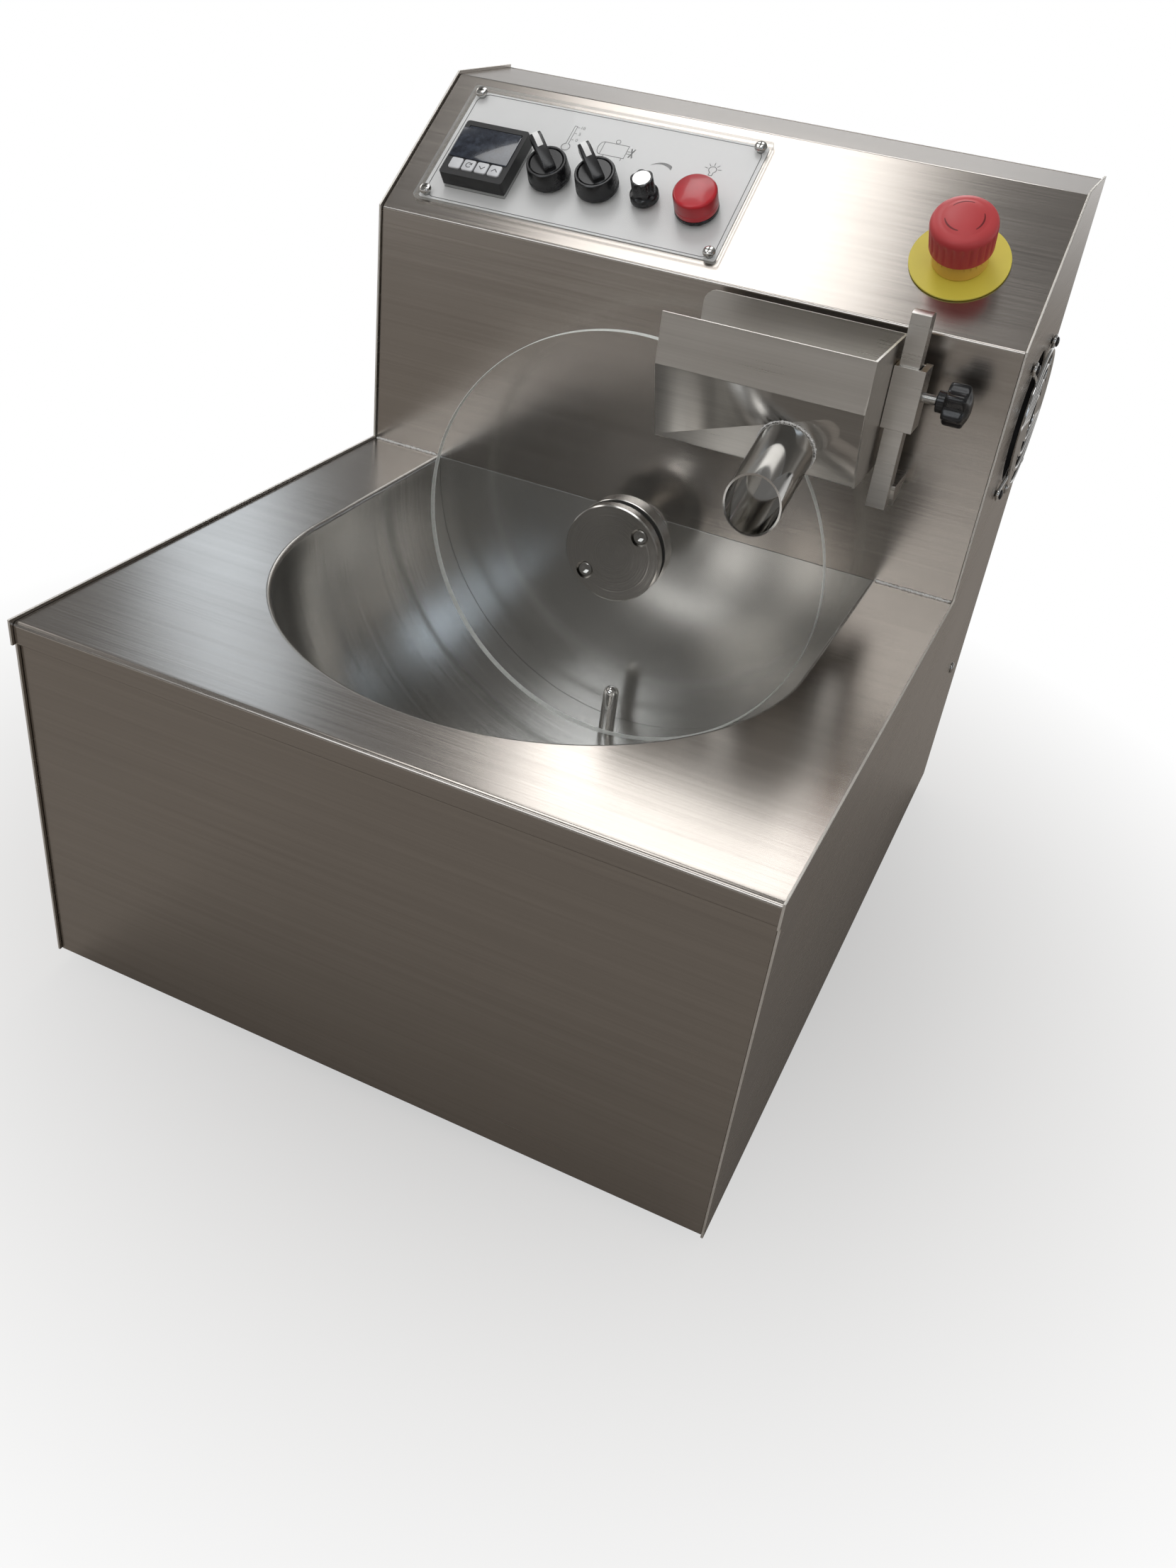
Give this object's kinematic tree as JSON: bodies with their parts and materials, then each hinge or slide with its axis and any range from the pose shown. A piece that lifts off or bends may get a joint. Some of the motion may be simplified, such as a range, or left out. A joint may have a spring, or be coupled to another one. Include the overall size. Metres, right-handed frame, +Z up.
{
  "type": "chocolate tempering machine",
  "caption": "Countertop machine with a round-fronted bowl in a low deck, a clear driven wheel, an adjustable scraper box with a spout, a sloped console and a side fan.",
  "frame": {"origin": "middle of the overall footprint, on the surface that the rubber feet stand on", "axes": "+Z up, +Y towards the back, +X to the right as seen from the front, where the operator stands"},
  "size_m": [0.4466, 0.5434, 0.4848],
  "materials": {
    "brushed_steel": "brushed",
    "polished_steel": "polished",
    "turned_steel": "fine turned",
    "zinc_steel": "zinc plated",
    "chrome_wire": "bright",
    "clear_plastic": "clear",
    "printed_label": "printed film",
    "black_plastic": "satin",
    "display_glass": "gloss",
    "white_key": "satin",
    "red_lens": "gloss",
    "red_plastic": "satin",
    "yellow_plastic": "satin",
    "orange_plastic": "satin",
    "silicone_mat": "matt",
    "foot_rubber": "matt",
    "cast_aluminium": "as cast",
    "motor_paint": "satin",
    "white_bush": "machined"
  },
  "bodies": {
    "housing": {"front_panel": "brushed_steel", "deck": "brushed_steel", "riser_console": "brushed_steel", "side_panel_left": "brushed_steel", "side_panel_right": "brushed_steel", "back_cover": "brushed_steel", "base_tray": "zinc_steel", "foot_1": "foot_rubber", "foot_2": "foot_rubber", "foot_3": "foot_rubber", "foot_4": "foot_rubber", "tank_bowl": "polished_steel", "tank_back_plate": "polished_steel", "heater_mat": "silicone_mat", "temperature_probe": "polished_steel", "gearbox": "cast_aluminium", "drive_motor": "motor_paint", "motor_bracket": "zinc_steel", "shaft_bushing": "white_bush", "guide_post": "brushed_steel", "cover_plate": "clear_plastic", "label_sheet": "printed_label", "plate_screw_1": "polished_steel", "plate_screw_2": "polished_steel", "plate_screw_3": "polished_steel", "plate_screw_4": "polished_steel", "controller_case": "black_plastic", "controller_window": "display_glass", "selector_heat_body": "black_plastic", "selector_motor_body": "black_plastic", "speed_potentiometer": "cast_aluminium", "pilot_lamp_body": "black_plastic", "pilot_lamp_lens": "red_lens", "estop_plate": "yellow_plastic", "estop_body": "orange_plastic", "fan_frame": "black_plastic", "fan_guard": "chrome_wire", "power_inlet": "black_plastic"},
    "wheel": {"drive_shaft": "polished_steel", "hub_flange": "turned_steel", "wheel_disc": "clear_plastic", "hub_cap": "turned_steel", "hub_screw_1": "polished_steel", "hub_screw_2": "polished_steel"},
    "carriage": {"scraper_box": "brushed_steel", "spout_tube": "polished_steel", "clamp_sleeve": "brushed_steel"},
    "clamp_screw": {"clamp_screw": "zinc_steel"},
    "star_knob": {"star_knob": "black_plastic"},
    "selector_heat_handle": {"selector_heat_handle": "black_plastic"},
    "selector_motor_handle": {"selector_motor_handle": "black_plastic"},
    "speed_knob": {"speed_knob": "black_plastic"},
    "controller_key_1": {"controller_key_1": "white_key"},
    "controller_key_2": {"controller_key_2": "white_key"},
    "controller_key_3": {"controller_key_3": "white_key"},
    "controller_key_4": {"controller_key_4": "white_key"},
    "estop_stem": {"estop_stem": "black_plastic"},
    "estop_head": {"estop_head": "red_plastic"},
    "fan_rotor": {"fan_rotor": "black_plastic"}
  },
  "joints": [
    {"name": "wheel_spin", "type": "hinge", "parent": "housing", "child": "wheel", "pos_m": [-0.0033, 0.0473, 0.2363], "axis": [0, 1, 0], "continuous": true},
    {"name": "scraper_height", "type": "slide", "parent": "housing", "child": "carriage", "axis": [0, 0, 1], "range_m": [-0.005, 0.028]},
    {"name": "clamp_feed", "type": "slide", "parent": "carriage", "child": "clamp_screw", "axis": [1, 0, 0], "range_m": [0, 0.0031]},
    {"name": "clamp_turn", "type": "hinge", "parent": "clamp_screw", "child": "star_knob", "pos_m": [0.1803, 0.0613, 0.3788], "axis": [1, 0, 0], "range_deg": [0, 1080]},
    {"name": "heat_switch_turn", "type": "hinge", "parent": "housing", "child": "selector_heat_handle", "pos_m": [-0.1171, 0.13231, 0.43829], "axis": [0, -0.6013, 0.799], "range_deg": [-90, 0]},
    {"name": "motor_switch_turn", "type": "hinge", "parent": "housing", "child": "selector_motor_handle", "pos_m": [-0.0821, 0.13231, 0.43829], "axis": [0, -0.6013, 0.799], "range_deg": [-90, 0]},
    {"name": "speed_turn", "type": "hinge", "parent": "housing", "child": "speed_knob", "pos_m": [-0.0478, 0.13135, 0.43756], "axis": [0, -0.6013, 0.799], "range_deg": [-270, 0]},
    {"name": "key_1_press", "type": "slide", "parent": "housing", "child": "controller_key_1", "axis": [0, 0.6013, -0.799], "range_m": [0, 0.0005], "stiffness_N_per_m": 800, "springref_m": -0.0005},
    {"name": "key_2_press", "type": "slide", "parent": "housing", "child": "controller_key_2", "axis": [0, 0.6013, -0.799], "range_m": [0, 0.0005], "stiffness_N_per_m": 800, "springref_m": -0.0005},
    {"name": "key_3_press", "type": "slide", "parent": "housing", "child": "controller_key_3", "axis": [0, 0.6013, -0.799], "range_m": [0, 0.0005], "stiffness_N_per_m": 800, "springref_m": -0.0005},
    {"name": "key_4_press", "type": "slide", "parent": "housing", "child": "controller_key_4", "axis": [0, 0.6013, -0.799], "range_m": [0, 0.0005], "stiffness_N_per_m": 800, "springref_m": -0.0005},
    {"name": "stop_press", "type": "slide", "parent": "housing", "child": "estop_stem", "axis": [0, 0.6013, -0.799], "range_m": [0, 0.004], "stiffness_N_per_m": 1500, "springref_m": -0.003},
    {"name": "stop_twist", "type": "hinge", "parent": "estop_stem", "child": "estop_head", "pos_m": [0.158, 0.13615, 0.44117], "axis": [0, -0.6013, 0.799], "range_deg": [-45, 0], "stiffness_Nm_per_rad": 0.05, "springref_deg": 11.46},
    {"name": "fan_spin", "type": "hinge", "parent": "housing", "child": "fan_rotor", "pos_m": [0.2034, 0.1923, 0.3443], "axis": [1, 0, 0], "continuous": true}
  ],
  "couplings": [
    {"joint": "clamp_feed", "follows": "clamp_turn", "m_per_rad": 0.00015915}
  ]
}
